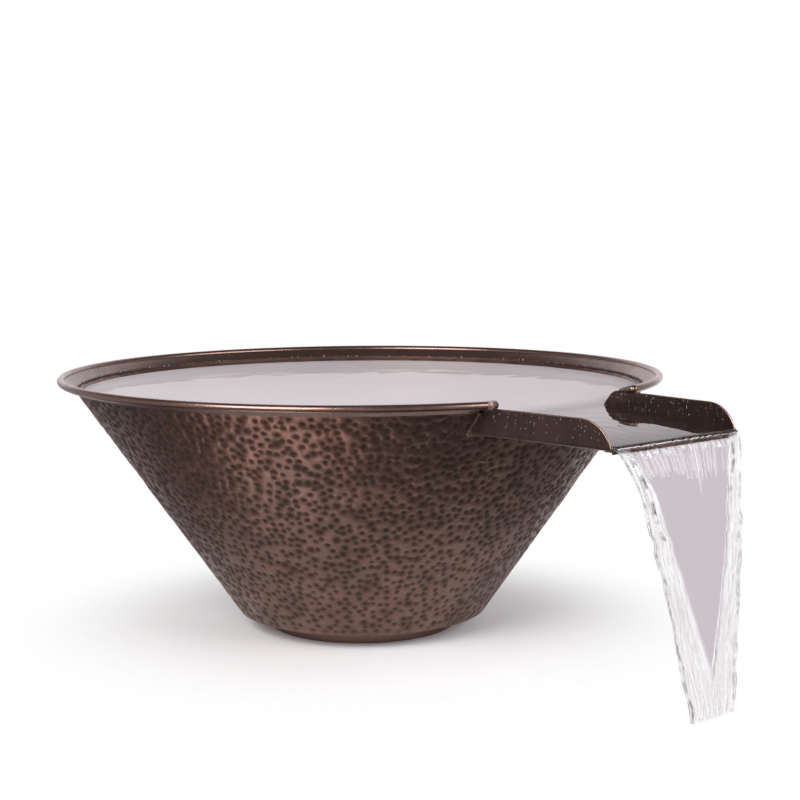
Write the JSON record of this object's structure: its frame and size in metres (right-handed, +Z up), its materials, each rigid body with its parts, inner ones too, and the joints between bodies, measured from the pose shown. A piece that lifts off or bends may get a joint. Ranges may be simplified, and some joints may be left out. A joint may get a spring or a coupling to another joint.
{
  "type": "tabletop water fountain",
  "caption": "Conical hammered copper spill bowl on a foot ring, with a rolled rim, an inlet in its floor and a flat spillway that throws a falling sheet of water.",
  "frame": {"origin": "centre of the foot ring's underside, on the bowl's axis", "axes": "+Z up along the bowl's axis, +X along the spillway towards its lip, symmetric about the XZ plane"},
  "size_m": [0.7614, 0.61, 0.261],
  "materials": {
    "hammered_copper": "hammered copper with a dark antique patina, darker in the dimples",
    "smooth_copper": "smooth antique copper, rubbed lighter on the rolled rim",
    "spillway_copper": "dark antique copper sheet with faint water streaks",
    "bright_copper": "copper worn bright by the water",
    "solder": "brazed copper fillet, slightly lumpy",
    "fitting_brass": "turned brass, satin",
    "gasket_rubber": "black rubber",
    "screw_steel": "stainless steel",
    "water": "clear running water"
  },
  "bodies": {
    "root": {"bowl_wall": "hammered_copper", "bowl_floor": "hammered_copper", "foot_ring": "smooth_copper", "rim_flange": "smooth_copper", "rim_bead": "smooth_copper", "spillway_tray": "spillway_copper", "drip_edge": "bright_copper", "floor_seam": "solder", "foot_seam": "solder", "rim_seam": "solder", "rim_end_caps": "solder", "spillway_seams": "solder", "inlet_bulkhead": "fitting_brass", "inlet_locknut": "fitting_brass", "inlet_washer": "fitting_brass", "inlet_gasket": "gasket_rubber", "diffuser_plate": "smooth_copper", "diffuser_posts": "fitting_brass", "diffuser_screws": "screw_steel", "falling_water": "water"}
  },
  "joints": []
}
